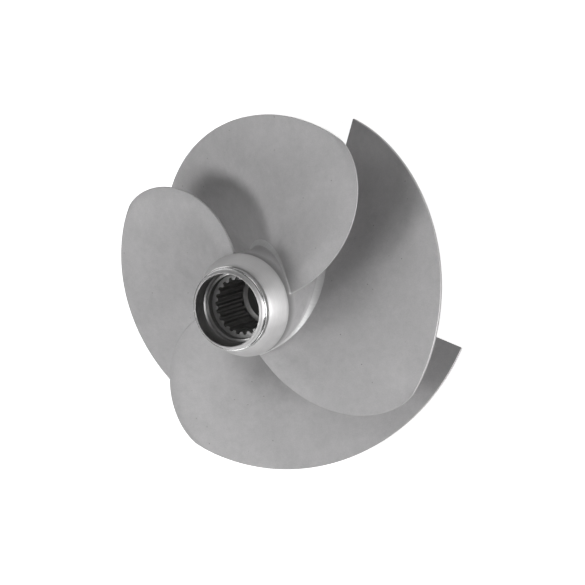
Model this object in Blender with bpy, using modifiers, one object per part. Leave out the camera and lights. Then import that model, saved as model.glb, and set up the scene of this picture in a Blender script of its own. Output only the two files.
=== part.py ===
"""Jet pump impeller of a personal watercraft: one stainless steel casting with four swept blades.

The hub stands upright on its rear face, with the axis of rotation along +Z, the splined front
up, and the origin at the centre of the rear face. Seen from the front, each blade runs
counterclockwise from its leading edge, near the collar, down to its trailing edge.
Sizes are in millimetres and become metres where a mesh is made.
"""
import math

import bmesh
import bpy

MM = 0.001

# Whole casting
LENGTH = 78.0
TIP_RADIUS = 80.5
BLADES = 4

# Lip around the mouth: radius, and depth below the front
BORE_RADIUS = 15.6
MOUTH_RING = 16.1
LIP_STEP_RADIUS = 17.3
LIP_STEP_DEPTH = 1.7
LIP_RADIUS = 18.2
LIP_SHOULDER_DEPTH = 3.1
LIP_DEPTH = 3.5
NECK_RADIUS = 17.7
NECK_END_DEPTH = 4.2

# Collar cone behind the lip
CONE_START_RADIUS = 18.7
CONE_START_DEPTH = 4.4
CONE_BULGE = 0.25
CREASE_RADIUS = 22.7
CREASE_DEPTH = 13.7
CREASE_ROUND = 0.5

# Hub between the blades: a straight waist that flares to the rear face
WAIST_RADIUS = 22.4
WAIST_DEPTH = 30.0
REAR_RADIUS = 31.0
REAR_CHAMFER = 1.0
FLARE_POINTS = 6
FLARE_POWER = 2.2

# Bore from the front: a seal chamber with a tapered seat and a ledge, then a shaft step and the splines
CHAMBER_RADIUS = 16.1
CHAMBER_DEPTH = 7.8
SEAT_RADIUS = 15.5
LEDGE_DEPTH = 9.4
LEDGE_RADIUS = 14.4
STEP_DEPTH = 12.3
STEP_RADIUS = 14.2
SPLINE_TEETH = 22
SPLINE_TIP_RADIUS = 11.6
SPLINE_ROOT_RADIUS = 12.9
SPLINE_TIP_SHARE = 0.30
SPLINE_ROOT_SHARE = 0.34
SPLINE_PHASE = math.radians(-3.6)
SPLINE_END_DEPTH = 34.8

# Bore behind the splines, and the recess in the rear face
RELIEF_RADIUS = 13.3
RELIEF_END_DEPTH = 37.5
SHAFT_BORE_RADIUS = 11.3
RECESS_RADIUS = 17.5
RECESS_HEIGHT = 6.0
RECESS_CHAMFER = 1.0

# Outline of a blade seen from the front: the leading edge sweeps from the hub to the tip circle,
# on a curve that starts at this radius inside the collar
SWEEP_START_RADIUS = 18.05
BLADE_END_ANGLE = math.radians(151.1)
SWEEP_ANGLE = math.radians(51.0)
SWEEP_RADIUS_POWER = 1.59
SWEEP_ANGLE_POWER = 0.93

# Height of a blade's middle surface: the pitch grows with the angle from the leading edge,
# and the rake lifts the blade towards the hub and fades out at the trailing edge
BLADE_FRONT_DEPTH = 27.06
PITCH_START = 4.86
PITCH_GROWTH = 10.34
RAKE_SPAN = 60.0
RAKE = 7.74
RAKE_CURL = 2.82

# Thickness of a blade
TIP_THICKNESS = 1.8
ROOT_THICKNESS = 4.2
NOSE_THICKNESS = 0.9
NOSE_LENGTH = 9.0
NOSE_BLUNT_SHARE = 0.2
TAIL_THICKNESS = 1.3
TAIL_LENGTH = 14.0
FILLET_RADIUS = 4.5
FILLET_FADE_LENGTH = 12.0
ROOT_BURIED = 2.5
ROW_SPACING_POWER = 1.8

# Fineness of the meshes
HUB_STEPS = 64
CHORD_STEPS = 24
SPAN_STEPS = 15
SETTLE_ROUNDS = 3
CUT_OVERRUN = 2.0
MERGE_DISTANCE = 0.00001


def height(depth):
    """Height above the rear face of a point at this depth below the front."""
    return LENGTH - depth


def clear_scene():
    for item in list(bpy.data.objects):
        bpy.data.objects.remove(item, do_unlink=True)


def make_collection(name):
    collection = bpy.data.collections.new(name)
    bpy.context.scene.collection.children.link(collection)
    return collection


def cast_steel():
    """Bead-blasted stainless casting: neutral mid grey, metallic, fairly rough."""
    material = bpy.data.materials.new("cast_stainless")
    material.use_nodes = True
    shader = material.node_tree.nodes["Principled BSDF"]
    shader.inputs["Base Color"].default_value = (0.42, 0.42, 0.43, 1.0)
    shader.inputs["Metallic"].default_value = 1.0
    shader.inputs["Roughness"].default_value = 0.5
    return material


def waist_radius(depth):
    """Radius of the hub behind the collar, straight at first and then flaring to the rear."""
    flare = max(0.0, depth - WAIST_DEPTH) / (LENGTH - WAIST_DEPTH)
    return WAIST_RADIUS + (REAR_RADIUS - WAIST_RADIUS) * flare ** FLARE_POWER


def hub_outline():
    """Outside of the hub from the front to the rear, as radius and height."""
    points = [
        (0.0, height(0.0)),
        (MOUTH_RING, height(0.0)),
        (LIP_STEP_RADIUS, height(LIP_STEP_DEPTH)),
        (LIP_RADIUS, height(LIP_SHOULDER_DEPTH)),
        (LIP_RADIUS, height(LIP_DEPTH)),
        (NECK_RADIUS, height(LIP_DEPTH)),
        (NECK_RADIUS, height(NECK_END_DEPTH)),
        (CONE_START_RADIUS, height(CONE_START_DEPTH)),
    ]
    middle_radius = (CONE_START_RADIUS + CREASE_RADIUS) / 2 + CONE_BULGE
    middle_depth = (CONE_START_DEPTH + CREASE_DEPTH) / 2
    points.append((middle_radius, height(middle_depth)))
    points.append((CREASE_RADIUS, height(CREASE_DEPTH - CREASE_ROUND)))
    points.append((CREASE_RADIUS, height(CREASE_DEPTH)))
    points.append((WAIST_RADIUS, height(CREASE_DEPTH + CREASE_ROUND)))
    flare_end = LENGTH - REAR_CHAMFER
    for step in range(FLARE_POINTS + 1):
        depth = WAIST_DEPTH + (flare_end - WAIST_DEPTH) * step / FLARE_POINTS
        points.append((waist_radius(depth), height(depth)))
    points.append((REAR_RADIUS - REAR_CHAMFER, 0.0))
    points.append((0.0, 0.0))
    return points


def bore_outline():
    """Everything that is turned out of the inside, from above the mouth to below the rear face."""
    return [
        (0.0, LENGTH + CUT_OVERRUN),
        (BORE_RADIUS, LENGTH + CUT_OVERRUN),
        (BORE_RADIUS, height(0.0)),
        (CHAMBER_RADIUS, height(CHAMBER_DEPTH)),
        (SEAT_RADIUS, height(LEDGE_DEPTH)),
        (LEDGE_RADIUS, height(LEDGE_DEPTH)),
        (STEP_RADIUS, height(STEP_DEPTH)),
        (SPLINE_TIP_RADIUS, height(STEP_DEPTH)),
        (SPLINE_TIP_RADIUS, height(SPLINE_END_DEPTH)),
        (RELIEF_RADIUS, height(SPLINE_END_DEPTH)),
        (RELIEF_RADIUS, height(RELIEF_END_DEPTH)),
        (SHAFT_BORE_RADIUS, height(RELIEF_END_DEPTH)),
        (SHAFT_BORE_RADIUS, RECESS_HEIGHT),
        (RECESS_RADIUS, RECESS_HEIGHT),
        (RECESS_RADIUS, RECESS_CHAMFER),
        (RECESS_RADIUS + RECESS_CHAMFER, 0.0),
        (RECESS_RADIUS + RECESS_CHAMFER, -CUT_OVERRUN),
        (0.0, -CUT_OVERRUN),
    ]


def turned(name, outline, collection):
    """A solid of revolution: the outline, from the axis round to the axis again, turned about Z."""
    mesh = bpy.data.meshes.new(name)
    bm = bmesh.new()
    corners = [bm.verts.new((radius * MM, 0.0, z * MM)) for radius, z in outline]
    for first, second in zip(corners, corners[1:]):
        bm.edges.new((first, second))
    bm.to_mesh(mesh)
    bm.free()
    item = bpy.data.objects.new(name, mesh)
    collection.objects.link(item)
    screw = item.modifiers.new("turn", "SCREW")
    screw.steps = HUB_STEPS
    screw.render_steps = HUB_STEPS
    screw.use_merge_vertices = True
    screw.merge_threshold = MERGE_DISTANCE
    screw.use_smooth_shade = True
    return item


def surface_depth(angle, radius):
    """Depth below the front of a blade's middle surface."""
    inward = (TIP_RADIUS - radius) / RAKE_SPAN
    lift = (RAKE * inward + RAKE_CURL * inward ** 2) * (1 - angle / BLADE_END_ANGLE)
    return BLADE_FRONT_DEPTH + PITCH_START * angle + PITCH_GROWTH * angle ** 2 / 2 - lift


def sweep(radius):
    """Angle of the leading edge at this radius."""
    share = 1 - ((TIP_RADIUS - radius) / (TIP_RADIUS - SWEEP_START_RADIUS)) ** (1 / SWEEP_RADIUS_POWER)
    return SWEEP_ANGLE * share ** SWEEP_ANGLE_POWER


def row_radius(root_radius, span):
    """Radius of a row of points: rows lie closer together at the fillet and at the tip."""
    outward = 1 - (1 - span ** ROW_SPACING_POWER) ** SWEEP_RADIUS_POWER
    return root_radius + (TIP_RADIUS - root_radius) * outward


def hub_radius_at(chord):
    """Radius of the hub where a line across the blade meets it."""
    start = sweep(WAIST_RADIUS)
    angle = start + (BLADE_END_ANGLE - start) * chord
    radius = WAIST_RADIUS
    for settle in range(SETTLE_ROUNDS):
        radius = waist_radius(surface_depth(angle, radius))
    return radius


def blade_point(chord, span):
    """A point of a blade's middle surface: chord 0 at the leading edge to 1 at the trailing edge,
    span 0 inside the hub to 1 at the tip. Gives angle, radius and height."""
    start = sweep(row_radius(hub_radius_at(0.0) - ROOT_BURIED, span))
    angle = start + (BLADE_END_ANGLE - start) * chord
    radius = row_radius(hub_radius_at(chord) - ROOT_BURIED, span)
    return angle, radius, height(surface_depth(angle, radius))


def blend(distance, length):
    """0 at an edge, rising smoothly to 1 at this length from it."""
    share = min(1.0, distance / length)
    return math.sin(share * math.pi / 2)


def blade_thickness(chord, span):
    """Thickness at a point: thick at the root, thin at the edges, with a fillet into the hub."""
    angle, radius, z = blade_point(chord, span)
    start_angle, start_radius, start_z = blade_point(0.0, span)
    end_angle, end_radius, end_z = blade_point(1.0, span)
    from_nose = math.hypot(radius * (angle - start_angle), z - start_z)
    from_tail = math.hypot(radius * (end_angle - angle), end_z - z)
    from_hub = radius - hub_radius_at(chord)
    outward = max(0.0, from_hub) / (TIP_RADIUS - hub_radius_at(chord))
    body = ROOT_THICKNESS + (TIP_THICKNESS - ROOT_THICKNESS) * outward
    blunt = max(0.0, 1 - outward / NOSE_BLUNT_SHARE)
    nose_edge = NOSE_THICKNESS + (ROOT_THICKNESS - NOSE_THICKNESS) * blunt
    at_nose = nose_edge + (body - nose_edge) * blend(from_nose, NOSE_LENGTH)
    at_tail = TAIL_THICKNESS + (body - TAIL_THICKNESS) * blend(from_tail, TAIL_LENGTH)
    gap = min(FILLET_RADIUS, max(0.0, FILLET_RADIUS - from_hub))
    fillet = FILLET_RADIUS - math.sqrt(FILLET_RADIUS ** 2 - gap ** 2)
    fade = blend(from_nose, FILLET_FADE_LENGTH) * blend(from_tail, FILLET_FADE_LENGTH)
    return min(at_nose, at_tail) + 2 * fillet * fade


def blade(name, collection):
    """One blade: a sheet bent to the middle surface, with Solidify giving each point its thickness."""
    mesh = bpy.data.meshes.new(name)
    bm = bmesh.new()
    bmesh.ops.create_grid(bm, x_segments=CHORD_STEPS, y_segments=SPAN_STEPS, size=0.5)
    places = [(vert.co.x + 0.5, vert.co.y + 0.5) for vert in bm.verts]
    for vert, (chord, span) in zip(bm.verts, places):
        angle, radius, z = blade_point(chord, span)
        vert.co = (radius * math.cos(angle) * MM, radius * math.sin(angle) * MM, z * MM)
    bm.to_mesh(mesh)
    bm.free()
    item = bpy.data.objects.new(name, mesh)
    collection.objects.link(item)
    thicknesses = [blade_thickness(chord, span) for chord, span in places]
    thickest = max(thicknesses)
    group = item.vertex_groups.new(name="thickness")
    for index, thickness in enumerate(thicknesses):
        group.add([index], thickness / thickest, "REPLACE")
    solidify = item.modifiers.new("thickness", "SOLIDIFY")
    solidify.thickness = thickest * MM
    solidify.offset = 0.0
    solidify.use_even_offset = True
    solidify.vertex_group = group.name
    return item


def spline_cutter(name, collection):
    """The spaces between the teeth, as one toothed bar."""
    corners_per_tooth = 4
    mesh = bpy.data.meshes.new(name)
    bm = bmesh.new()
    ring = bmesh.ops.create_circle(bm, cap_ends=True, segments=SPLINE_TEETH * corners_per_tooth, radius=1.0)
    pitch = 2 * math.pi / SPLINE_TEETH
    flank = (1 - SPLINE_TIP_SHARE - SPLINE_ROOT_SHARE) / 2
    corner_shares = (
        (-SPLINE_TIP_SHARE / 2, SPLINE_TIP_RADIUS),
        (SPLINE_TIP_SHARE / 2, SPLINE_TIP_RADIUS),
        (SPLINE_TIP_SHARE / 2 + flank, SPLINE_ROOT_RADIUS),
        (1 - SPLINE_TIP_SHARE / 2 - flank, SPLINE_ROOT_RADIUS),
    )
    verts = sorted(ring["verts"], key=lambda vert: math.atan2(vert.co.y, vert.co.x) % (2 * math.pi))
    for index, vert in enumerate(verts):
        share, radius = corner_shares[index % corners_per_tooth]
        angle = SPLINE_PHASE + pitch * (index // corners_per_tooth + share)
        vert.co = (radius * math.cos(angle) * MM, radius * math.sin(angle) * MM, 0.0)
    top = height(STEP_DEPTH) * MM
    bottom = height((SPLINE_END_DEPTH + RELIEF_END_DEPTH) / 2) * MM
    for vert in bm.verts:
        vert.co.z = bottom
    risen = bmesh.ops.extrude_face_region(bm, geom=bm.faces[:])
    for part in risen["geom"]:
        if isinstance(part, bmesh.types.BMVert):
            part.co.z = top
    bmesh.ops.recalc_face_normals(bm, faces=bm.faces[:])
    bm.to_mesh(mesh)
    bm.free()
    item = bpy.data.objects.new(name, mesh)
    collection.objects.link(item)
    return item


def as_cutter(item):
    item.hide_render = True
    item.display_type = "WIRE"


def combine(item, other, operation):
    boolean = item.modifiers.new(operation.lower() + "_" + other.name, "BOOLEAN")
    boolean.operation = operation
    boolean.solver = "EXACT"
    boolean.object = other


def main():
    clear_scene()
    casting_collection = make_collection("impeller")
    tool_collection = make_collection("cutters")
    casting = turned("impeller_casting", hub_outline(), casting_collection)
    casting.data.materials.append(cast_steel())
    first_blade = blade("blade_1", tool_collection)
    blades = [first_blade]
    for number in range(1, BLADES):
        copy = first_blade.copy()
        copy.name = "blade_" + str(number + 1)
        copy.rotation_euler.z = number * 2 * math.pi / BLADES
        tool_collection.objects.link(copy)
        blades.append(copy)
    for item in blades:
        as_cutter(item)
        combine(casting, item, "UNION")
    bore = turned("bore", bore_outline(), tool_collection)
    splines = spline_cutter("splines", tool_collection)
    for item in (bore, splines):
        as_cutter(item)
        combine(casting, item, "DIFFERENCE")


main()
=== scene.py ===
# %% [markdown]
# # The impeller of a personal watercraft
# The real object is the rotor of a jet pump. It is poured as one stainless steel casting, a hub
# with four swept blades, and bead-blasted grey. Then a lathe turns the lip, the bore, the rear
# face and the blade tips, and a broach cuts the splines. So this lesson models one closed mesh
# and gives it the finishes of those trades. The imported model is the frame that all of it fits.

# %% Load the frame
import math

import bmesh
import bpy
from mathutils import Matrix, Vector


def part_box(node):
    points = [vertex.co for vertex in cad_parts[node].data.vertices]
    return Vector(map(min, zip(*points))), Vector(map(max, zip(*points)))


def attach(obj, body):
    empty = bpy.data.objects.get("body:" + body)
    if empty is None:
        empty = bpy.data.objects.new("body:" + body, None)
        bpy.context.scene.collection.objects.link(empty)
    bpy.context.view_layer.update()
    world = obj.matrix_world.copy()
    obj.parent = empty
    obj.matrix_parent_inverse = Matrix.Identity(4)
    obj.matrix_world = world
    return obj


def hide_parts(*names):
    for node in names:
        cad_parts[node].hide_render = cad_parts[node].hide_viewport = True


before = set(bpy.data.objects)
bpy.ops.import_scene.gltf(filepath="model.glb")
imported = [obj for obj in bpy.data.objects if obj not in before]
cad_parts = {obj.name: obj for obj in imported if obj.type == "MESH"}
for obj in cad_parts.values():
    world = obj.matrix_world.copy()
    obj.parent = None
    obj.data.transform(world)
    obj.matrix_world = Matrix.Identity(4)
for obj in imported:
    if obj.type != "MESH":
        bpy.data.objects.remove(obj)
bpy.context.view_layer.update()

node_low, node_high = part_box("impeller_casting")
print("nodes:", sorted(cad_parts), "lowest", node_low[:], "highest", node_high[:])

# %% [markdown]
# ## Driving sizes
# Makers think of such a part in millimetres, so the formulas below do too, and one helper turns
# their results into Blender's metres. The length and the tip radius are read from the frame. All
# other sizes are the ones that a fit of the shape to the photograph gave. Depths are measured
# down from the front end, because that is where the water comes in and where the photo looks.

# %% Sizes of the casting
MM = 0.001
LENGTH = round(node_high.z / MM, 2)
TIP_RADIUS = round(node_high.x / MM, 1)
BLADES = 4
SECTOR_ANGLE = 2 * math.pi / BLADES
EDGE_BREAK = 0.14
print("length", LENGTH, "mm, tip radius", TIP_RADIUS, "mm")

# %% [markdown]
# ## The blade as a formula
# A blade is a screw surface. Its depth grows with the angle round the axis, faster and faster,
# as the pitch does on the real one. The rake lifts it towards the hub and fades out at the
# trailing edge. Seen from the front, the leading edge sweeps from the hub to the tip circle.
# A formula is used here because every vertex can then be put exactly on the surface, however
# fine the mesh is, and because two neighbouring blades are then certain to be alike.

# %% Middle surface of a blade
BLADE_END = math.radians(151.1)
BLADE_FRONT_DEPTH = 27.06
PITCH_START = 4.86
PITCH_GROWTH = 10.34
RAKE_SPAN = 60.0
RAKE = 7.74
RAKE_CURL = 2.82
SWEEP = math.radians(51.0)
SWEEP_START_RADIUS = 18.05
SWEEP_RADIUS_POWER = 1.59
SWEEP_ANGLE_POWER = 0.93


def rake_lift(radius):
    """How far the rake lifts the leading edge at this radius."""
    inward = (TIP_RADIUS - radius) / RAKE_SPAN
    return RAKE * inward + RAKE_CURL * inward ** 2


def blade_depth(angle, radius):
    """Depth of the middle surface below the front."""
    fall = PITCH_START * angle + PITCH_GROWTH * angle ** 2 / 2
    return BLADE_FRONT_DEPTH + fall - rake_lift(radius) * (1 - angle / BLADE_END)


def blade_slope(angle, radius):
    """How fast that depth grows, in millimetres for each radian."""
    return PITCH_START + PITCH_GROWTH * angle + rake_lift(radius) / BLADE_END


def leading_edge(radius):
    """Angle of the leading edge at this radius."""
    inward = max(0.0, TIP_RADIUS - radius) / (TIP_RADIUS - SWEEP_START_RADIUS)
    return SWEEP * (1 - inward ** (1 / SWEEP_RADIUS_POWER)) ** SWEEP_ANGLE_POWER


for radius in (25.0, 50.0, TIP_RADIUS):
    steepness = math.degrees(math.atan2(blade_slope(leading_edge(radius), radius), radius))
    print("radius", radius, "leading edge at", round(math.degrees(leading_edge(radius)), 1),
          "degrees, pitch", round(steepness, 1), "degrees")

# %% [markdown]
# ## The hub that carries the blades
# Between the blades the hub is a straight waist that flares towards the rear, like the bell of a
# trumpet. It is a surface of revolution, so its radius is a function of depth alone. That makes
# it easy to lay the feet of the blades on it later.

# %% Radius of the hub
WAIST_RADIUS = 22.4
WAIST_DEPTH = 30.0
REAR_RADIUS = 31.0
FLARE_POWER = 2.2


def hub_radius(z):
    """Radius of the hub at this height above the rear face."""
    depth = LENGTH - z
    flare = max(0.0, depth - WAIST_DEPTH) / (LENGTH - WAIST_DEPTH)
    return WAIST_RADIUS + (REAR_RADIUS - WAIST_RADIUS) * flare ** FLARE_POWER


print("hub radius at mid length", round(hub_radius(LENGTH / 2), 2), "mm, at the rear", hub_radius(0))

# %% [markdown]
# ## Thickness of a blade
# A cast blade is thick at the root and thin at the tip. Its leading edge is rounded over like the
# nose of a wing, and its trailing edge is cut off square. The shape could be lofted through a few
# sections, but as an offset from the middle surface it can be blended everywhere without a seam.

# %% Half thickness and nose
TIP_HALF = 0.9
ROOT_HALF = 2.1
NOSE_RADIUS = 0.45
ROOT_NOSE_RADIUS = 0.9
BLUNT_SHARE = 0.24
BLUNT_POWER = 1.5


def body_half(outward):
    """Half the thickness away from the edges, outward being 0 at the hub and 1 at the tip."""
    return ROOT_HALF + (TIP_HALF - ROOT_HALF) * outward


def nose_radius(outward):
    """Radius of the rounded leading edge, which is blunt where it meets the hub."""
    blunt = max(0.0, 1 - outward / BLUNT_SHARE)
    return NOSE_RADIUS + (ROOT_NOSE_RADIUS - NOSE_RADIUS) * blunt ** BLUNT_POWER


print("half thickness at the root", body_half(0), "mm, at the tip", round(body_half(1), 2), "mm")

# %% [markdown]
# ## The fillet at the foot of a blade
# Molten metal needs a fillet where the blade runs into the hub. It is small round the nose and
# grows along the blade. On the upper side it has been ground, so it stops short of a full quarter
# circle and leaves a crisp line on the blade, which the photo shows. A bevel would have one width
# all round the foot, so the fillet is a formula too.

# %% Width and bend of the fillet
FILLET_WIDTH = 4.9
FILLET_AT_NOSE = 0.8
FILLET_AT_TAIL = 0.35
FILLET_GROWTH = 42.0
FILLET_FADE = 14.0
GROUND_BEND = math.radians(60)
GRINDING_START = 7.0


def smooth(share):
    """0 to 1 with a soft start and a soft end."""
    share = min(1.0, max(0.0, share))
    return share * share * (3 - 2 * share)


def fillet_width(from_nose, to_tail):
    """How far the fillet reaches out on the hub, from the distances to both ends of the foot."""
    grown = FILLET_AT_NOSE + (FILLET_WIDTH - FILLET_AT_NOSE) * smooth(from_nose / FILLET_GROWTH)
    return FILLET_AT_TAIL + (grown - FILLET_AT_TAIL) * smooth(to_tail / FILLET_FADE)


def fillet_bend(from_nose, side):
    """Angle that the fillet turns through before it meets the blade."""
    ground = smooth(from_nose / GRINDING_START) if side > 0 else 0.0
    return math.pi / 2 + (GROUND_BEND - math.pi / 2) * ground


print("fillet at the nose", fillet_width(0, 60), "mm, half way", fillet_width(30, 30), "mm")

# %% [markdown]
# ## A net of columns, rows and levels
# The whole skin is one net. Its 176 columns run round the axis, 8 for each of the 22 spline
# teeth and so 44 for each blade. Rows run along a blade from its nose to its tail, close together
# at the nose. Levels rise from the hub to the tip, first through the fillet. Because every vertex
# carries these three numbers, its place can be worked out after the operators have made it.

# %% Counts of the net
TEETH = 22
COLUMNS_PER_TOOTH = 8
COLUMNS = TEETH * COLUMNS_PER_TOOTH
SECTOR = COLUMNS // BLADES
BELOW, MIDDLE, ABOVE = 0, 1, 2
COLUMN_ANGLE = 2 * math.pi / COLUMNS
NOSE_ROWS = 4
LAST_ROW = 92
FILLET_LEVELS = 8
LAST_LEVEL = 42
print(COLUMNS, "columns,", LAST_ROW + 1, "rows,", LAST_LEVEL, "levels")

# %% [markdown]
# ## How high a level lies
# The first levels climb the arc of the fillet, and each still stands off from the blade by what is
# left of the fillet there. The others share out the rest of the way to the tip, and the last one
# draws in by a hair, which breaks the edge of the tip as a file would.

# %% Height of a level
LEVEL_POWER = 1.15


def rise(level, fillet, bend, hub):
    """Height of a level above the hub, and the fillet's extra offset there."""
    radius = fillet / math.sin(bend)
    top = radius * (1 - math.cos(bend))
    if level <= FILLET_LEVELS:
        turn = bend * level / FILLET_LEVELS
        return radius * (1 - math.cos(turn)), fillet - radius * math.sin(turn)
    if level == LAST_LEVEL:
        return TIP_RADIUS - hub, -EDGE_BREAK
    span = (level - FILLET_LEVELS) / (LAST_LEVEL - 1 - FILLET_LEVELS)
    outward = 1 - (1 - span ** LEVEL_POWER) ** SWEEP_RADIUS_POWER
    return top + (TIP_RADIUS - EDGE_BREAK - hub - top) * outward, 0.0


for level in (1, FILLET_LEVELS, LAST_LEVEL):
    above, extra = rise(level, FILLET_WIDTH, GROUND_BEND, WAIST_RADIUS)
    print("level", level, "lies", round(above, 2), "mm above the hub")

# %% [markdown]
# ## How far along a row lies
# Rows crowd towards the nose, because the blade bends most there. Distances along the blade are
# taken on its middle line, unrolled into a plane, as one would bend a strip of tin round a pipe.

# %% Angle of a row
ROW_POWER = 1.3


def along(first, second, radius):
    """Distance between two angles on the middle line at this radius."""
    fall = blade_depth(second, radius) - blade_depth(first, radius)
    return math.hypot(radius * (second - first), fall)


def line_angle(row, start, end, speed):
    """Angle on the middle line of a row behind the nose."""
    last = end - EDGE_BREAK / speed
    if row == LAST_ROW:
        return end
    share = (row - NOSE_ROWS + 1) / (LAST_ROW - NOSE_ROWS)
    return start + (last - start) * share ** ROW_POWER


print("length of the middle line at the tip", round(along(SWEEP, BLADE_END, TIP_RADIUS), 1), "mm")

# %% [markdown]
# ## The section of a blade
# At a given radius the blade is unrolled into a plane, with the angle across and the height up.
# The section there is its middle line with an offset to each side, which swells behind the nose
# and thins out to the tail. In the nose rows the section is an arc. At the foot that arc is turned
# towards the front, so that no row has to double back under the blade.

# %% Point of the nose
NOSE_TURN = math.radians(60)


def nose_point(row, side, turn):
    """Forward and upward parts of the way from the centre of the nose's arc to a vertex on it."""
    share = (row + 1) / NOSE_ROWS
    quarter = math.pi / 2
    if side == 0 and row > 0:
        return math.cos(quarter * share), 0.0
    bend = turn + (side * quarter - turn) * share if side else turn
    return math.cos(bend), math.sin(bend)


print("first row over the nose at the foot:", [round(x, 2) for x in nose_point(0, 1, NOSE_TURN)])

# %% Point of a section
NOSE_LENGTH = 9.0
TAIL_HALF = 0.65
TAIL_LENGTH = 14.0


def ease_out(share):
    """0 to 1 with a straight start and a soft end."""
    share = min(1.0, max(0.0, share))
    return share * (3 - share * share) / 2


def section_point(row, side, radius, extra, outward, turn):
    """Angle on the middle line and offset from it, for one point of the section."""
    nose = nose_radius(outward)
    speed = math.hypot(radius, blade_slope(leading_edge(radius), radius))
    start = leading_edge(radius) + nose / speed
    if row < NOSE_ROWS:
        forward, upward = nose_point(row, side, turn)
        return start - (nose + extra) * forward / speed, (nose + extra) * upward
    tail_speed = math.hypot(radius, blade_slope(BLADE_END, radius))
    angle = line_angle(row, start, BLADE_END, tail_speed)
    from_nose = along(start, angle, radius)
    to_tail = along(angle, BLADE_END, radius)
    body = body_half(outward)
    at_nose = nose + (body - nose) * math.sin(math.pi / 2 * min(1.0, from_nose / NOSE_LENGTH))
    at_tail = TAIL_HALF + (body - TAIL_HALF) * ease_out(to_tail / TAIL_LENGTH)
    half = min(at_nose, at_tail) + extra
    if row == LAST_ROW:
        half -= EDGE_BREAK
        angle += max(0.0, extra) / tail_speed
    return angle, side * half


middle_half = section_point(LAST_ROW // 2, 1, TIP_RADIUS, 0.0, 1.0, 0.0)[1]
print("half thickness at the middle of the tip", round(middle_half, 2), "mm")

# %% [markdown]
# ## From the three numbers to a place
# A section needs its radius. That depends on the hub's radius below the point, and the hub's
# radius on the point's height. So a few rounds of a loop let the two settle, and then the offset
# is laid at right angles to the screw surface.

# %% Place of a vertex on a blade
SETTLE_ROUNDS = 5


def blade_place(row, side, level):
    """Angle, radius and height of a vertex of the first blade."""
    hub = WAIST_RADIUS
    for _ in range(SETTLE_ROUNDS):
        start = leading_edge(hub)
        middle = line_angle(max(row, NOSE_ROWS - 1), start, BLADE_END, hub)
        from_nose = along(start, middle, hub)
        fillet = fillet_width(from_nose, along(middle, BLADE_END, hub))
        above, extra = rise(level, fillet, fillet_bend(from_nose, side), hub)
        radius = hub + above
        outward = min(1.0, max(0.0, above / (TIP_RADIUS - hub)))
        turn = NOSE_TURN * max(0.0, 1 - level / FILLET_LEVELS)
        middle, offset = section_point(row, side, radius, extra, outward, turn)
        steep = math.atan2(blade_slope(middle, radius), radius)
        angle = middle + offset * math.sin(steep) / radius
        z = LENGTH - blade_depth(middle, radius) + offset * math.cos(steep)
        hub = hub_radius(z)
    return angle, radius, z


FEET = {side: [blade_place(row, side, 0) for row in range(LAST_ROW + 1)] for side in (-1, 1)}
nose_foot = blade_place(0, 0, 0)
tail_foot = blade_place(LAST_ROW, 0, 0)
print("nose foot", [round(x, 3) for x in nose_foot], "tail foot", [round(x, 3) for x in tail_foot])

# %% [markdown]
# ## The hub between two blades
# Each row of the hub joins the upper foot of one blade to the lower foot of the next. In the
# unrolled plane that is a straight line, and the hub's own radius lifts it onto the surface. The
# other way would be to cut blades and hub together with a Boolean, which leaves slivers where
# they touch at a shallow angle, just where a cast fillet should look soft.

# %% Place of a vertex on the hub


def blended(first, second, share):
    """A place between two others on the hub, in the unrolled plane."""
    angle = first[0] + (second[0] - first[0]) * share
    z = first[2] + (second[2] - first[2]) * share
    return angle, hub_radius(z), z


def foot_place(row, column):
    """Angle, radius and height of a hub vertex in the first sector, at the foot of the blades."""
    if column <= ABOVE:
        return blade_place(row, column - MIDDLE, 0)
    angle, radius, z = FEET[-1][row]
    share = (column - ABOVE) / (SECTOR - ABOVE)
    return blended(FEET[1][row], (angle + SECTOR_ANGLE, radius, z), share)


print("middle of the first passage", [round(x, 2) for x in foot_place(20, SECTOR // 2)])

# %% [markdown]
# ## Outlines for the lathe
# Everything that isn't blade or waist is turned, so an outline of radius and depth says it all.
# The front outline starts inside the shaft bore, climbs over a step into the groove where the
# broach runs out, and past the splines, the ledge and the tapered seat to the mouth. Then it goes
# over the lip, through the neck groove and down the collar cone. The rear one goes round the
# chamfer, the rear face and the recess. Real machined corners are never knife sharp, so short
# slopes between the points break them.

# %% Outline of the shaft bore and the splines
SHAFT_BORE = 11.3
SPLINE_TIP = 11.6
SPLINE_ROOT = 12.9
SPLINE_START = 12.3
SPLINE_END = 34.8
GROOVE_RADIUS = 13.3
GROOVE_END = 37.5
GROOVE_CORNER = 0.3
STEP_DROP = 0.9
MEETING_DEPTH = 60.0
BORE = [
    (SHAFT_BORE, MEETING_DEPTH, "drilled"),
    (SHAFT_BORE, GROOVE_END + STEP_DROP, "drilled"),
    (GROOVE_RADIUS - GROOVE_CORNER, GROOVE_END, "turned"),
    (GROOVE_RADIUS, GROOVE_END - GROOVE_CORNER, "bored"),
    (GROOVE_RADIUS, SPLINE_END, "broached"),
    (SPLINE_TIP, SPLINE_END, "broached"),
    (SPLINE_TIP, SPLINE_START, "broached"),
]
print(len(BORE), "points in the bore, splines", round(SPLINE_END - SPLINE_START, 1), "mm long")

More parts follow.
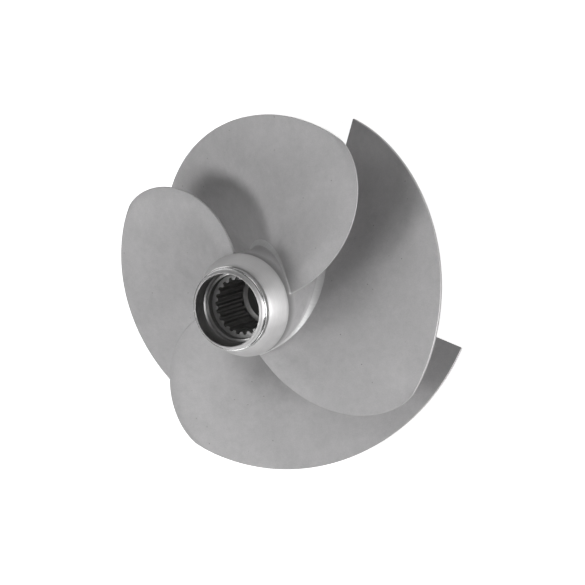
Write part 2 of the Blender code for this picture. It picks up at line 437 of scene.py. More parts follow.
# %% Outline of the mouth, from the tooth ends over the ledge and the seat to the lip
STEP_RADIUS = 14.2
LEDGE_RADIUS = 14.4
LEDGE_DEPTH = 9.4
CHAMBER_RADIUS = 16.1
SEAT_RADIUS = 15.72
MOUTH = [
    (SPLINE_ROOT + 0.1, SPLINE_START, "faced"),
    (STEP_RADIUS, SPLINE_START - 0.25, "faced"),
    (LEDGE_RADIUS, LEDGE_DEPTH, "bored"),
    (14.85, LEDGE_DEPTH, "turned"),
    (15.0, 9.25, "turned"),
    (15.3, 9.25, "turned"),
    (15.45, 8.8, "turned"),
    (15.7, 8.45, "turned"),
    (CHAMBER_RADIUS, 7.9, "turned"),
    (CHAMBER_RADIUS, 7.6, "bored"),
    (SEAT_RADIUS, 0.25, "bored"),
    (15.85, 0.0, "turned"),
    (16.15, 0.05, "turned"),
    (16.75, 0.8, "satin"),
    (16.87, 0.88, "turned"),
    (17.35, 1.6, "satin"),
]
print(len(MOUTH), "points from the tooth ends to the lip")

# %% Round the lip, the neck groove and the collar cone


def arc(center, radius, first, last, steps):
    """Points of an arc, as radius and depth, with angles in degrees from outwards to the rear."""
    for step in range(steps + 1):
        turn = math.radians(first + (last - first) * step / steps)
        yield center[0] + radius * math.cos(turn), center[1] + radius * math.sin(turn)


BEAD_CENTER = (17.4, 2.75)
BEAD_RADIUS = 0.8
BEAD = [(*point, "polished") for point in arc(BEAD_CENTER, BEAD_RADIUS, -75, 55, 10)]
NECK = [(17.62, 3.6, "turned"), (17.6, 4.05, "turned"), (18.45, 4.15, "turned")]
CONE_START = (18.7, 4.4)
CREASE = (22.7, 13.7)
CONE_BULGE = 1.0
CONE_STEPS = 6
CONE = []
for step in range(CONE_STEPS):
    share = step / CONE_STEPS
    CONE.append((
        CONE_START[0] + (CREASE[0] - CONE_START[0]) * share + CONE_BULGE * share * (1 - share),
        CONE_START[1] + (CREASE[1] - CONE_START[1]) * share,
        "satin",
    ))
print(len(BEAD) + len(NECK) + len(CONE), "points over the lip and down the cone")

# %% Round the crease and join the front outline
CREASE_ROUND = 0.3
CREASE_DROP = 0.04
WAIST_START = 0.55
CREASE_ARC = [
    (CREASE[0] - CREASE_DROP, CREASE[1] - CREASE_ROUND, "satin"),
    (*CREASE, "satin"),
    (CREASE[0] - 2 * CREASE_DROP, CREASE[1] + CREASE_ROUND, "satin"),
    (WAIST_RADIUS, CREASE[1] + WAIST_START, "cast"),
]
FRONT = BORE + MOUTH + BEAD + NECK + CONE + CREASE_ARC
print(len(FRONT), "points from the bore down to the waist")

# %% Outline of the rear, from the waist into the bore
CHAMFER = 1.0
RECESS_RADIUS = 17.5
RECESS_DEPTH = 6.0
REAR = [
    (hub_radius(CHAMFER), LENGTH - CHAMFER, "cast"),
    (REAR_RADIUS - CHAMFER, LENGTH, "turned"),
    (RECESS_RADIUS + CHAMFER, LENGTH, "turned"),
    (RECESS_RADIUS, LENGTH - CHAMFER, "turned"),
    (RECESS_RADIUS, LENGTH - RECESS_DEPTH, "turned"),
    (SHAFT_BORE + CHAMFER, LENGTH - RECESS_DEPTH, "turned"),
    (SHAFT_BORE, LENGTH - RECESS_DEPTH - CHAMFER, "turned"),
    (SHAFT_BORE, MEETING_DEPTH + 1.0, "drilled"),
]
print(len(REAR), "points from the waist into the bore")

# %% [markdown]
# ## Ring after ring
# The net starts as one circle. It is extruded edge by edge along the front outline, down the rows
# of the waist and along the rear outline, so the skin has no seam and its faces keep the finish
# of the stretch they belong to. New vertices inherit the tags of the ones they came from, so
# only the row has to be written on each new ring.

# %% Start the net and its tags
net = bmesh.new()
column_tag = net.verts.layers.int.new("column")
row_tag = net.verts.layers.int.new("row")
level_tag = net.verts.layers.int.new("level")
circle = bmesh.ops.create_circle(net, segments=COLUMNS, radius=1.0)
for vert in circle["verts"]:
    vert[column_tag] = round(math.atan2(vert.co.y, vert.co.x) / COLUMN_ANGLE) % COLUMNS
first_ring = net.edges[:]
print("first ring:", len(first_ring), "edges")

# %% Finishes and the list of rings
FINISHES = ["cast", "satin", "turned", "bored", "broached", "drilled", "ground", "polished", "faced"]
WAIST_ROWS = 3
HEEL_ROWS = 1
FIRST_ROOT = len(FRONT) + WAIST_ROWS
LAST_ROOT = FIRST_ROOT + LAST_ROW
FIRST_REAR = LAST_ROOT + HEEL_ROWS + 1
ring_finish = [finish for radius, depth, finish in FRONT]
ring_finish += ["cast"] * (FIRST_REAR - len(FRONT))
ring_finish += [finish for radius, depth, finish in REAR]
print(len(ring_finish), "rings, the blades stand on", FIRST_ROOT, "to", LAST_ROOT)

# %% Extrude the rings
ring = first_ring
for row in range(1, len(ring_finish)):
    made = bmesh.ops.extrude_edge_only(net, edges=ring)["geom"]
    fresh = {item for item in made if isinstance(item, bmesh.types.BMVert)}
    for vert in fresh:
        vert[row_tag] = row
    for item in made:
        if isinstance(item, bmesh.types.BMFace):
            item.material_index = FINISHES.index(ring_finish[row])
    ring = [item for item in made if isinstance(item, bmesh.types.BMEdge) and fresh.issuperset(item.verts)]
last_ring = ring
print("tube:", len(net.verts), "vertices,", len(net.faces), "faces")

# %% [markdown]
# ## Raise the blades
# Under each blade lies a strip of faces two columns wide. Extruding these strips as regions,
# level by level, pulls four closed blades out of the hub, with a face of their own all round:
# upper side, lower side, nose, tail and tip. The top level is the turned tip. The upper part of
# each fillet gets a lighter finish, partly ground steel and partly a painted highlight.

# %% Extrude the strips under the blades
FIRST_GROUND_AND_HIGHLIGHT_LEVEL = 4


def under_a_blade(face):
    """True for a face of the strips that the blades grow from."""
    rows = [vert[row_tag] for vert in face.verts]
    columns = {vert[column_tag] % SECTOR for vert in face.verts}
    return min(rows) >= FIRST_ROOT and max(rows) <= LAST_ROOT and columns <= {BELOW, MIDDLE, ABOVE}


blade_tops = [face for face in net.faces if under_a_blade(face)]
for level in range(1, LAST_LEVEL + 1):
    region = set(blade_tops)
    for face in blade_tops:
        region.update(face.edges)
        region.update(face.verts)
    before = set(net.faces) if level == LAST_LEVEL else set()
    made = bmesh.ops.extrude_face_region(net, geom=list(region))["geom"]
    blade_tops = [item for item in made if isinstance(item, bmesh.types.BMFace)]
    for item in made:
        if isinstance(item, bmesh.types.BMVert):
            item[level_tag] = level
for face in set(net.faces) - before:
    face.material_index = FINISHES.index("satin")
# The upper fillet band takes the lighter ground finish: partly ground steel, partly a painted highlight.
for face in net.faces:
    levels = [vert[level_tag] for vert in face.verts]
    above = all(vert[column_tag] % SECTOR == ABOVE for vert in face.verts)
    if above and min(levels) >= FIRST_GROUND_AND_HIGHLIGHT_LEVEL and max(levels) <= FILLET_LEVELS:
        face.material_index = FINISHES.index("ground")
print("with blades:", len(net.verts), "vertices,", len(net.faces), "faces")

# %% [markdown]
# ## Put every vertex in its place
# The columns of a turned ring are evenly spaced, with one of them on the middle of each spline
# tooth. Within the splines, three of a tooth's eight columns lie on its tip, three in the space
# beside it and one half way down each flank. The rows of the waist blend from the feet of the
# blades to those rings. What one blade needs is worked out once and used for all four.

# %% Angles of the turned rings
SPLINE_PHASE = math.radians(-3.6)
TOOTH_ANGLE = 2 * math.pi / TEETH
TIP_SHARE = 0.30
ROOT_SHARE = 0.34
FLANK_SHARE = (1 - TIP_SHARE - ROOT_SHARE) / 2
front_shift = round((nose_foot[0] - SPLINE_PHASE) / COLUMN_ANGLE)
front_turn = SPLINE_PHASE + front_shift * COLUMN_ANGLE
rear_turn = front_turn + round((tail_foot[0] - front_turn) / COLUMN_ANGLE) * COLUMN_ANGLE
spline_rings = [row for row, (radius, depth, finish) in enumerate(FRONT) if radius == SPLINE_TIP]
print("front turned by", round(math.degrees(front_turn), 2), "degrees, splines on rings", spline_rings)

# %% Place the turned rings and the waist


def spline_place(column):
    """Angle and radius of a column on the splines."""
    half_tooth = COLUMNS_PER_TOOTH // 2 - 1
    tooth, corner = divmod(column - MIDDLE + front_shift + half_tooth, COLUMNS_PER_TOOTH)
    corner -= half_tooth
    steps = abs(corner)
    shares = (0.0, TIP_SHARE / 2, (TIP_SHARE + FLANK_SHARE) / 2, TIP_SHARE / 2 + FLANK_SHARE, 0.5)
    radii = (SPLINE_TIP, SPLINE_TIP, (SPLINE_TIP + SPLINE_ROOT) / 2, SPLINE_ROOT, SPLINE_ROOT)
    share = math.copysign(shares[steps], corner)
    return SPLINE_PHASE + (tooth + share) * TOOTH_ANGLE, radii[steps]


def turned_place(row, column):
    """Angle, radius and height of a vertex on a turned ring."""
    if row < FIRST_ROOT:
        radius, depth, finish = FRONT[min(row, len(FRONT) - 1)]
        angle = front_turn + (column - MIDDLE) * COLUMN_ANGLE
        if row in spline_rings:
            angle, radius = spline_place(column)
        return angle, radius, LENGTH - depth
    radius, depth, finish = REAR[max(row - FIRST_REAR, 0)]
    return rear_turn + (column - MIDDLE) * COLUMN_ANGLE, radius, LENGTH - depth


print("a spline column:", [round(x, 3) for x in spline_place(0)])

# %% Place all the vertices
known = {}


def vertex_place(column, row, level):
    """Angle, radius and height of a vertex, from its three numbers."""
    blade, inner = divmod(column, SECTOR)
    if FIRST_ROOT <= row <= LAST_ROOT:
        key = (inner, row, level)
        if key not in known and level > 0:
            known[key] = blade_place(row - FIRST_ROOT, inner - MIDDLE, level)
        elif key not in known:
            known[key] = foot_place(row - FIRST_ROOT, inner)
        angle, radius, z = known[key]
        return angle + blade * SECTOR_ANGLE, radius, z
    if len(FRONT) <= row < FIRST_ROOT:
        share = (FIRST_ROOT - row) / (WAIST_ROWS + 1)
        return blended(vertex_place(column, FIRST_ROOT, 0), turned_place(len(FRONT) - 1, column), share)
    if LAST_ROOT < row < FIRST_REAR:
        share = (row - LAST_ROOT) / (HEEL_ROWS + 1)
        return blended(vertex_place(column, LAST_ROOT, 0), turned_place(FIRST_REAR, column), share)
    return turned_place(row, column)


for vert in net.verts:
    angle, radius, z = vertex_place(vert[column_tag], vert[row_tag], vert[level_tag])
    vert.co = (radius * math.cos(angle) * MM, radius * math.sin(angle) * MM, z * MM)
print("placed", len(net.verts), "vertices")

# %% [markdown]
# ## Close the bore and round the teeth
# The first and the last ring face each other deep in the shaft bore, so bridging them closes the
# skin. Then the long corners of the spline teeth get a small bevel with two segments, because a
# broach leaves them rounded. Last, the normals are made to point outwards.

# %% Bridge the bore
bridge = bmesh.ops.bridge_loops(net, edges=first_ring + last_ring)
# The closing faces take the drilled finish, whose dark colour is painted shade deep in the bore.
for face in bridge["faces"]:
    face.material_index = FINISHES.index("drilled")
print(len(bridge["faces"]), "faces close the bore")

# %% Round the corners of the teeth
CORNERS = (1, 3)
CORNER_BEVEL = 0.2


def tooth_corner(edge):
    """True for the long edges at the corners of the teeth."""
    rows = {vert[row_tag] for vert in edge.verts}
    columns = {vert[column_tag] for vert in edge.verts}
    if rows != set(spline_rings) or len(columns) != 1:
        return False
    corner = (columns.pop() - MIDDLE + front_shift) % COLUMNS_PER_TOOTH
    return min(corner, COLUMNS_PER_TOOTH - corner) in CORNERS


corners = [edge for edge in net.edges if tooth_corner(edge)]
bevel = CORNER_BEVEL * MM
bmesh.ops.bevel(net, geom=corners, offset=bevel, segments=2, profile=0.5, affect="EDGES", material=-1)
bmesh.ops.recalc_face_normals(net, faces=net.faces[:])
open_edges = [edge for edge in net.edges if len(edge.link_faces) != 2]
print(len(corners), "tooth corners rounded, open edges:", len(open_edges),
      "volume", round(net.calc_volume() / MM ** 3 / 1000, 1), "cubic centimetres")

# %% [markdown]
# ## Soft and sharp edges
# Cast skin is shaded smooth all over, even round the small fillets. Machined faces meet at
# crisp edges. So an edge stays sharp where a tool has passed and the angle is steep, as along
# the ground fillets, or where even cast faces meet at a true corner, as at the trailing edges.

# %% Mark the sharp edges
MACHINED_ANGLE = math.radians(20)
CAST_ANGLE = math.radians(42)
for face in net.faces:
    face.smooth = True
sharp = 0
for edge in net.edges:
    cast_only = all(face.material_index == FINISHES.index("cast") for face in edge.link_faces)
    ground = all(vert[level_tag] == FILLET_LEVELS for vert in edge.verts)
    limit = CAST_ANGLE if cast_only and not ground else MACHINED_ANGLE
    if edge.calc_face_angle(0.0) > limit:
        edge.smooth = False
        sharp += 1
print(sharp, "sharp edges")

# %% Make the piece
mesh = bpy.data.meshes.new("impeller")
net.to_mesh(mesh)
net.free()
impeller = bpy.data.objects.new("impeller", mesh)
bpy.context.scene.collection.objects.link(impeller)
mesh.calc_loop_triangles()
print("impeller:", len(mesh.polygons), "faces,", len(mesh.loop_triangles), "triangles")

# %% [markdown]
# ## A helper for metal
# All the finishes are the same steel, so they share a start: a Principled shader that is mostly
# metallic, with its constants set on its own sockets, and the object's coordinates, so that a
# pattern stays on the steel when the camera moves.

# %% Steel


def steel(name, metallic, roughness):
    """A new material, with its nodes, its shader and the object's coordinates."""
    material = bpy.data.materials.new(name)
    material.use_nodes = True
    nodes = material.node_tree.nodes
    shader = nodes["Principled BSDF"]
    shader.inputs["Metallic"].default_value = metallic
    shader.inputs["Roughness"].default_value = roughness
    place = nodes.new("ShaderNodeTexCoord").outputs["Object"]
    mesh.materials.append(material)
    return material.node_tree, shader, place


print("finishes to make:", ", ".join(FINISHES))

# %% [markdown]
# ## Helpers for patterns
# Blender's materials are graphs of nodes. Drawn by hand they soon look like a plate of noodles, so
# each helper below wraps one node, or the few that belong together. With them a material reads
# like a recipe: a noise of some size, stretched to a range, mixed with another.

# %% Noise and arithmetic
NOISE_RANGE = (0.3, 0.7)


def noise(tree, place, size, detail, roughness=0.5):
    """Noise with spots of about this size in millimetres."""
    node = tree.nodes.new("ShaderNodeTexNoise")
    node.inputs["Scale"].default_value = 1 / (size * MM)
    node.inputs["Detail"].default_value = detail
    node.inputs["Roughness"].default_value = roughness
    tree.links.new(place, node.inputs["Vector"])
    return node.outputs["Fac"]


def spread(tree, value, low, high, to_low, to_high):
    """Stretch a value from one range to another."""
    node = tree.nodes.new("ShaderNodeMapRange")
    for number, limit in enumerate((low, high, to_low, to_high), start=1):
        node.inputs[number].default_value = limit
    tree.links.new(value, node.inputs[0])
    return node.outputs[0]


def reckon(tree, operation, first, second):
    """One step of arithmetic between a value and a value or a number."""
    node = tree.nodes.new("ShaderNodeMath")
    node.operation = operation
    tree.links.new(first, node.inputs[0])
    if isinstance(second, float):
        node.inputs[1].default_value = second
    else:
        tree.links.new(second, node.inputs[1])
    return node.outputs[0]


print("noise mostly lies between", NOISE_RANGE[0], "and", NOISE_RANGE[1])

# %% Tint, distance from the axis and bump


def tinted(tree, share, first, second, target):
    """Mix two colours by a share and send the result to a socket."""
    node = tree.nodes.new("ShaderNodeMix")
    node.data_type = "RGBA"
    node.inputs["A"].default_value = (*first, 1.0)
    node.inputs["B"].default_value = (*second, 1.0)
    tree.links.new(share, node.inputs["Factor"])
    tree.links.new(node.outputs["Result"], target)
    return node


def from_axis(tree, place):
    """Distance from the axis and height above the rear face, in metres."""
    parts = tree.nodes.new("ShaderNodeSeparateXYZ")
    tree.links.new(place, parts.inputs[0])
    squares = [reckon(tree, "POWER", parts.outputs[axis], 2.0) for axis in "XY"]
    return reckon(tree, "POWER", reckon(tree, "ADD", *squares), 0.5), parts.outputs["Z"]


def bumped(tree, shader, height, strength, depth):
    """Bump from a height between 0 and 1, with its full depth in millimetres."""
    node = tree.nodes.new("ShaderNodeBump")
    node.inputs["Strength"].default_value = strength
    node.inputs["Distance"].default_value = depth * MM
    tree.links.new(height, node.inputs["Height"])
    tree.links.new(node.outputs["Normal"], shader.inputs["Normal"])


print("six helpers: noise, stretching, arithmetic, tint, distance from the axis and bump")

# %% [markdown]
# ## The blasted cast skin
# Glass beads have hammered the skin into fine dimples, so it is a dull, even grey that hardly
# mirrors. Look closely and it isn't even: broad clouds from the mould, mottling a few millimetres
# wide, a fine grain and a few dark pits. Each of them is one noise at its true size, and their
# sum mixes two greys. The same mottling makes the gloss uneven, and the grain gives the bump.

# %% Tone of the cast skin
CAST_METALLIC = 0.55
CAST_ROUGHNESS = 0.6
CAST_DARK = (0.49, 0.488, 0.492)
CAST_LIGHT = (0.622, 0.612, 0.619)
CAST_TONES = (0.34, 0.66)
CLOUDS = {"size": 16.0, "detail": 3.0}
CLOUD_WEIGHT = 0.3
MOTTLING = {"size": 3.2, "detail": 4.0, "roughness": 0.65}
MOTTLING_WEIGHT = 0.42
GRAIN = {"size": 0.55, "detail": 2.0, "roughness": 0.6}
GRAIN_WEIGHT = 0.28
tree, shader, place = steel("cast_skin", CAST_METALLIC, CAST_ROUGHNESS)
base_color = shader.inputs["Base Color"]
clouds = noise(tree, place, **CLOUDS)
mottling = noise(tree, place, **MOTTLING)
grain = noise(tree, place, **GRAIN)
tone = reckon(tree, "MULTIPLY", clouds, CLOUD_WEIGHT)
tone = reckon(tree, "ADD", tone, reckon(tree, "MULTIPLY", mottling, MOTTLING_WEIGHT))
tone = reckon(tree, "ADD", tone, reckon(tree, "MULTIPLY", grain, GRAIN_WEIGHT))
skin_mix = tinted(tree, spread(tree, tone, *CAST_TONES, 0.0, 1.0), CAST_DARK, CAST_LIGHT, base_color)
print("clouds", CLOUDS["size"], "mm, mottling", MOTTLING["size"], "mm, grain", GRAIN["size"], "mm")

# %% [markdown]
# The pits are the centres of Voronoi cells, which lie apart as real pits do. A second noise, read
# once for each cell, decides which of them become pits, or else they would be as even as a print.

# %% Pits of the cast skin
PIT_COLOR = (0.17, 0.165, 0.16)
PIT_SPACING = 4.5
PIT_RADIUS = 0.36
PIT_RARITY = 0.55
PIT_PATCHES = {"size": 7.0, "detail": 0.0}
pits = tree.nodes.new("ShaderNodeTexVoronoi")
pits.inputs["Scale"].default_value = 1 / (PIT_SPACING * MM)
tree.links.new(place, pits.inputs["Vector"])
near_pit = spread(tree, pits.outputs["Distance"], 0.0, PIT_RADIUS / PIT_SPACING, 1.0, 0.0)
patches = noise(tree, pits.outputs["Position"], **PIT_PATCHES)
chosen = reckon(tree, "GREATER_THAN", patches, PIT_RARITY)
pitted = reckon(tree, "MULTIPLY", near_pit, chosen)
pit_mix = tinted(tree, pitted, CAST_LIGHT, PIT_COLOR, base_color)
tree.links.new(skin_mix.outputs["Result"], pit_mix.inputs["A"])
print("pits", PIT_SPACING, "mm apart,", 2 * PIT_RADIUS, "mm across")

# %% [markdown]
# The corner under the collar cone lies in shade, so a dark ring is painted there as painted shade.
# It lies where the distance from the axis is small and the height is large, and a mix by
# these two needs no picture.

# %% Painted shade under the collar
# The dark colour and its reach are painted shade in the corner under the collar.
PAINTED_SHADE_COLOR = (0.20, 0.198, 0.195)
PAINTED_SHADE_SHARE = 0.65
PAINTED_SHADE_RADII = (22.7 * MM, 23.6 * MM)
PAINTED_SHADE_HEIGHTS = ((LENGTH - 20.0) * MM, (LENGTH - 16.0) * MM)
radius, height = from_axis(tree, place)
at_hub = spread(tree, radius, *PAINTED_SHADE_RADII, PAINTED_SHADE_SHARE, 0.0)
under_collar = spread(tree, height, *PAINTED_SHADE_HEIGHTS, 0.0, 1.0)
painted_shade = reckon(tree, "MULTIPLY", at_hub, under_collar)
painted_shade_mix = tinted(tree, painted_shade, CAST_LIGHT, PAINTED_SHADE_COLOR, base_color)
tree.links.new(pit_mix.outputs["Result"], painted_shade_mix.inputs["A"])
print("dark ring from", round(PAINTED_SHADE_HEIGHTS[0] / MM, 1), "mm above the rear face")

# %% Gloss and dimples of the cast skin
GLOSS_RANGE = (0.55, 0.66)
MOTTLING_RISE = 2.0
BUMP_SHARE, BUMP_DEPTH = 0.35, 0.05
tree.links.new(spread(tree, mottling, *NOISE_RANGE, *GLOSS_RANGE), shader.inputs["Roughness"])
dimples = reckon(tree, "ADD", grain, reckon(tree, "MULTIPLY", mottling, MOTTLING_RISE))
bumped(tree, shader, dimples, BUMP_SHARE, BUMP_DEPTH)
print("dimples", BUMP_DEPTH, "mm deep, roughness from", GLOSS_RANGE[0], "to", GLOSS_RANGE[1])

# %% [markdown]
# ## Marks of the lathe
# A tool that feeds along a turning part leaves a fine thread of marks round the axis. The height
# of such a mark depends only on the distance along the outline, so noise with one dimension, read
# at radius plus height, gives true circles on faces, cones and bores alike. The marks stretch a
# highlight across themselves, which the shader's anisotropy does, with a tangent round the axis.

# %% Distance along the outline, and the tangent
HEIGHT_SHARE = 0.83
MARK_DETAIL = 3.0


def lathe_marks(tree, place, pitch):
    """Noise in true circles round the axis, with marks of this pitch in millimetres."""
    radius, height = from_axis(tree, place)
    outline = reckon(tree, "ADD", radius, reckon(tree, "MULTIPLY", height, HEIGHT_SHARE))
    marks = tree.nodes.new("ShaderNodeTexNoise")
    marks.noise_dimensions = "1D"
    marks.inputs["Scale"].default_value = 1 / (pitch * MM)
    marks.inputs["Detail"].default_value = MARK_DETAIL
    tree.links.new(outline, marks.inputs["W"])
    return marks.outputs["Fac"]


def stretched(tree, shader, amount):
    """Stretch the highlights across the marks."""
    tangent = tree.nodes.new("ShaderNodeTangent")
    tangent.direction_type = "RADIAL"
    tangent.axis = "Z"
    shader.inputs["Anisotropic"].default_value = amount
    tree.links.new(tangent.outputs["Tangent"], shader.inputs["Tangent"])


print("marks are read at the radius plus", HEIGHT_SHARE, "of the height")

# %% [markdown]
# ## One recipe, eight machined finishes
# The tools differ in how bright and how smooth they leave the steel. The collar cone and the
# tips are satin, the neck is turned, the seat is bored, the splines are broached, the shaft bore
# is drilled, the fillets are ground, the bead of the lip is polished, and the ends of the teeth
# are faced and left dull. The bored, broached and drilled finishes are also painted darker, as
# painted shade for the depth of the bore, darkest in the shaft bore. The ground finish is lighter,
# partly as ground steel and partly as a painted highlight along the fillet. So one loop makes
# them all from a table. A row of it holds the metallic share, the dark and the light colour, the
# range of the roughness, the pitch of the marks, the stretch of the highlights and the depth of
# the marks. The rows stand in the order of the finishes, because a face knows its material by
# that number.

# %% Materials of the machined faces
MARKS_WEIGHT = 0.5
STAINS_WEIGHT = 0.5
STAINS = {"size": 4.0, "detail": 3.0}
METAL_TONES = (0.35, 0.65)
MARKS_SHARE = 0.5
MACHINED = (
    ("satin_cone", 0.75, (0.605, 0.598, 0.6), (0.675, 0.668, 0.67), (0.48, 0.55), 0.16, 0.3, 0.003),
    ("turned_steel", 1.0, (0.47, 0.467, 0.465), (0.56, 0.557, 0.555), (0.36, 0.46), 0.12, 0.6, 0.002),
    # The bored, broached and drilled rows have darker colours: painted shade for the depth of the bore.
    ("bored_steel_painted_shade", 0.95, (0.30, 0.297, 0.295), (0.38, 0.377, 0.375), (0.34, 0.46), 0.2, 0.5, 0.004),
    ("broached_steel_painted_shade", 0.9, (0.38, 0.377, 0.374), (0.48, 0.477, 0.473), (0.36, 0.48), 0.2, 0.0, 0.004),
    ("drilled_steel_painted_shade", 0.9, (0.15, 0.148, 0.146), (0.21, 0.208, 0.205), (0.40, 0.50), 0.3, 0.0, 0.004),
    # The ground row is lighter: partly ground steel, partly a painted highlight along the fillet.
    ("ground_steel_and_highlight", 0.5, (0.62, 0.62, 0.62), (0.70, 0.70, 0.70), (0.50, 0.58), 0.5, 0.0, 0.003),
    ("polished_bead", 1.0, (0.70, 0.70, 0.70), (0.78, 0.78, 0.78), (0.20, 0.28), 0.12, 0.4, 0.001),
    ("faced_steel", 0.6, (0.34, 0.338, 0.336), (0.42, 0.418, 0.415), (0.60, 0.68), 0.2, 0.0, 0.003),
)
for name, metallic, dark, light, gloss, pitch, anisotropy, mark_depth in MACHINED:
    tree, shader, place = steel(name, metallic, gloss[0])
    marks = lathe_marks(tree, place, pitch)
    stains = noise(tree, place, **STAINS)
    tone = reckon(tree, "MULTIPLY", marks, MARKS_WEIGHT)
    tone = reckon(tree, "ADD", tone, reckon(tree, "MULTIPLY", stains, STAINS_WEIGHT))
    tinted(tree, spread(tree, tone, *METAL_TONES, 0.0, 1.0), dark, light, shader.inputs["Base Color"])
    tree.links.new(spread(tree, stains, *NOISE_RANGE, *gloss), shader.inputs["Roughness"])
    stretched(tree, shader, anisotropy)
    bumped(tree, shader, marks, MARKS_SHARE, mark_depth)
    print(name, "marks", pitch, "mm apart")

# %% [markdown]
# ## Hand the piece over
# The piece takes the place of the one node of the frame and moves with its root. All its
# finishes belong to the one stainless steel that the record names.

# %% Hand the piece to the frame
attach(impeller, "root")
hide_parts("impeller_casting")
print("impeller rides on root")

# %% [markdown]
# ## A light table
# Makers photograph such parts on a table of frosted acrylic that is lit from below, so that the
# ground is white and shadows nearly vanish. A plain grid with a matt shader does the same when it
# also gives off some light of its own. As film whitens what is bright, the eye gets a little more
# of that glow than the part does, and the light path tells the two kinds of ray apart. The table
# lies a hair below the rear face, so that the two flat faces don't flicker where they touch.

# %% Floor
FLOOR_SIZE = 1.2
FLOOR_GAP = 0.2
floor_net = bmesh.new()
bmesh.ops.create_grid(floor_net, x_segments=2, y_segments=2, size=FLOOR_SIZE)
bmesh.ops.translate(floor_net, verts=floor_net.verts, vec=(0, 0, -FLOOR_GAP * MM))
floor_mesh = bpy.data.meshes.new("floor")
floor_net.to_mesh(floor_mesh)
floor_net.free()
floor = bpy.data.objects.new("floor", floor_mesh)
bpy.context.scene.collection.objects.link(floor)
print("floor", 2 * FLOOR_SIZE, "m wide,", FLOOR_GAP, "mm below the part")

# %% Frosted acrylic
FLOOR_GLOW = 0.15
FLOOR_SEEN = 0.75
ACRYLIC_WHITE = 0.9
ACRYLIC_ROUGHNESS = 0.9
acrylic = bpy.data.materials.new("frosted_acrylic")
acrylic.use_nodes = True
acrylic_shader = acrylic.node_tree.nodes["Principled BSDF"]
acrylic_shader.inputs["Base Color"].default_value = (ACRYLIC_WHITE, ACRYLIC_WHITE, ACRYLIC_WHITE, 1.0)
acrylic_shader.inputs["Roughness"].default_value = ACRYLIC_ROUGHNESS
acrylic_shader.inputs["Specular IOR Level"].default_value = 0.0
acrylic_shader.inputs["Emission Color"].default_value = (1.0, 1.0, 1.0, 1.0)
seen = acrylic.node_tree.nodes.new("ShaderNodeLightPath").outputs["Is Camera Ray"]
glow = spread(acrylic.node_tree, seen, 0.0, 1.0, FLOOR_GLOW, FLOOR_SEEN)
acrylic.node_tree.links.new(glow, acrylic_shader.inputs["Emission Strength"])
floor_mesh.materials.append(acrylic)
print("acrylic glows with", FLOOR_GLOW, "for the part and", FLOOR_SEEN, "for the eye")

# %% [markdown]
# ## Softboxes
# The photo's shadows tell where its lights stood: two high ones at the left cast the soft shadows
# of the blades, two weak ones behind and above fill them, two low ones in front light the lower
# blade and draw the arcs in the bore and on the lip, and a strong low one at the right lights the
# cone. Each is an area light, placed by its direction, as one would note it down in a studio. A row
# of the table holds the azimuth and the elevation in degrees, the width in metres and the watts.

# %% Lights
LIGHT_DISTANCE = 1.5
LIGHT_AIM = Vector((0, 0, 0.04))
SOFTBOXES = (
    ("key_softbox", 180, 56, 0.4, 6.3),
    ("second_softbox", 203, 70, 0.45, 3.4),
    ("rear_softbox", 130, 36, 0.7, 1.6),
    ("top_softbox", 60, 60, 0.7, 2.3),
    ("front_softbox", 242, 19, 0.7, 4.2),
    ("low_softbox", 288, 13, 0.5, 2.6),
    ("side_softbox", 345, 12, 0.7, 11.9),
)


def softbox(name, azimuth, elevation, width, power):
    """A square area light that faces the part, with its direction in degrees."""
    data = bpy.data.lights.new(name, "AREA")
    data.shape = "SQUARE"
    data.size = width
    data.energy = power
    item = bpy.data.objects.new(name, data)
    bpy.context.scene.collection.objects.link(item)
    turn = math.radians(azimuth)
    lift = math.radians(elevation)
    towards = Vector((math.cos(lift) * math.cos(turn), math.cos(lift) * math.sin(turn), math.sin(lift)))
    item.location = LIGHT_AIM + LIGHT_DISTANCE * towards
    item.rotation_euler = towards.to_track_quat("Z", "Y").to_euler()


for settings in SOFTBOXES:
    softbox(*settings)
print(len(SOFTBOXES), "softboxes", LIGHT_DISTANCE, "m from the part")

# %% [markdown]
# ## Walls of the studio
# The walls are white but stand far off, so the eye sees them bright and the part gets little
# light from them. The world gives the two strengths for the two kinds of ray.

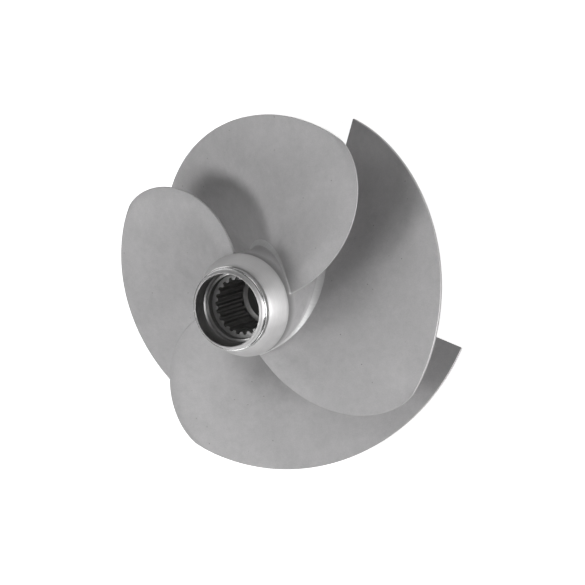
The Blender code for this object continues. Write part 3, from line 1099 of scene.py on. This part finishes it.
# %% World
WORLD_LIGHT = 0.01
WALL_LIGHT = 1.0
world = bpy.data.worlds.new("studio")
world.use_nodes = True
world_tree = world.node_tree
background = world_tree.nodes["Background"]
background.inputs["Color"].default_value = (1, 1, 1, 1)
seen = world_tree.nodes.new("ShaderNodeLightPath").outputs["Is Camera Ray"]
strength = spread(world_tree, seen, 0.0, 1.0, WORLD_LIGHT, WALL_LIGHT)
world_tree.links.new(strength, background.inputs["Strength"])
bpy.context.scene.world = world
bpy.context.scene.view_settings.view_transform = "Standard"
print("walls: light", WORLD_LIGHT, "seen as", WALL_LIGHT)

# %% [markdown]
# ## The photographer's place
# The camera looks down at the mouth of the hub, tilted from the axis, and is rolled until the
# blades lie as in the photo. A long lens from a distance keeps the far blades as large as the
# near ones. These values come from fitting the rims of the bore and the tips of the blades.

# %% Camera
VIEW_TILT = math.radians(29.69)
VIEW_AZIMUTH = math.radians(8.149)
VIEW_ROLL = math.radians(-108.13)
VIEW_DISTANCE = 0.8219
VIEW_LENS = 113.9
VIEW_SENSOR = 36
AIM_HEIGHT = 0.043
AIM_RIGHT = 0.01167
AIM_UP = 0.0022
turned = Matrix.Rotation(VIEW_AZIMUTH, 3, "Z")
towards = turned @ Vector((math.sin(VIEW_TILT), 0, math.cos(VIEW_TILT)))
up = turned @ Vector((-math.cos(VIEW_TILT), 0, math.sin(VIEW_TILT)))
right = up.cross(towards)
camera_right = math.cos(VIEW_ROLL) * right + math.sin(VIEW_ROLL) * up
camera_up = -math.sin(VIEW_ROLL) * right + math.cos(VIEW_ROLL) * up
aim = Vector((0, 0, AIM_HEIGHT)) + AIM_RIGHT * camera_right + AIM_UP * camera_up
camera_data = bpy.data.cameras.new("camera")
camera_data.lens = VIEW_LENS
camera_data.sensor_width = VIEW_SENSOR
camera = bpy.data.objects.new("camera", camera_data)
bpy.context.scene.collection.objects.link(camera)
axes = Matrix((camera_right, camera_up, towards)).transposed().to_4x4()
camera.matrix_world = Matrix.Translation(aim + VIEW_DISTANCE * towards) @ axes
bpy.context.scene.camera = camera
print("camera", VIEW_DISTANCE, "m away with a lens of", VIEW_LENS, "mm")
